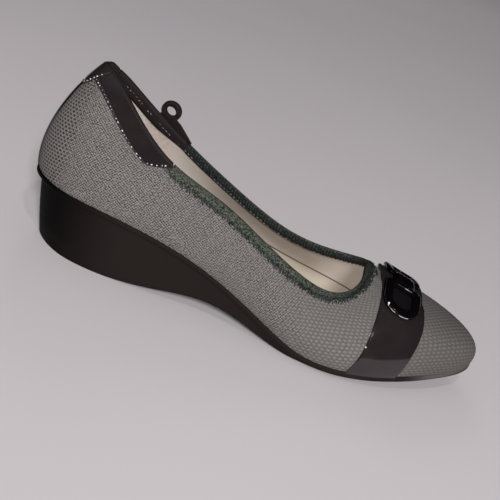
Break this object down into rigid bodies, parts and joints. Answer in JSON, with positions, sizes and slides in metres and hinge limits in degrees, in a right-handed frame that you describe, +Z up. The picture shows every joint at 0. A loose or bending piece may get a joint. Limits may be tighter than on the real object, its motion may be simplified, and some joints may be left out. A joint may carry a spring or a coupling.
{
  "type": "wedge shoe",
  "caption": "Women's closed-toe wedge shoe with a knitted mesh upper, a patent band with a double D ring, patent heel trims and a gathered elastic binding.",
  "frame": {"origin": "on the floor, in the middle of the shoe's outer box", "axes": "+X from the heel to the toe, +Y to the medial side, +Z up"},
  "size_m": [0.244, 0.0818, 0.0955],
  "materials": {
    "mesh": "light grey knitted mesh with dark gaps",
    "sole": "matte black moulding",
    "sock": "cream sock, lightly worn",
    "elastic": "dark grey-green gathered elastic",
    "patent": "black patent, high gloss",
    "ornament": "glossy black moulding",
    "cord": "black cord"
  },
  "bodies": {
    "root": {"upper": "mesh", "wedge_sole": "sole", "insole": "sock", "topline_binding": "elastic", "heel_tab": "patent", "collar_strip_lateral": "patent", "collar_strip_medial": "patent", "backstay": "patent", "vamp_band": "patent", "ornament_ring_lateral": "ornament", "ornament_ring_medial": "ornament", "ornament_link": "ornament", "pull_loop": "cord"}
  },
  "joints": []
}
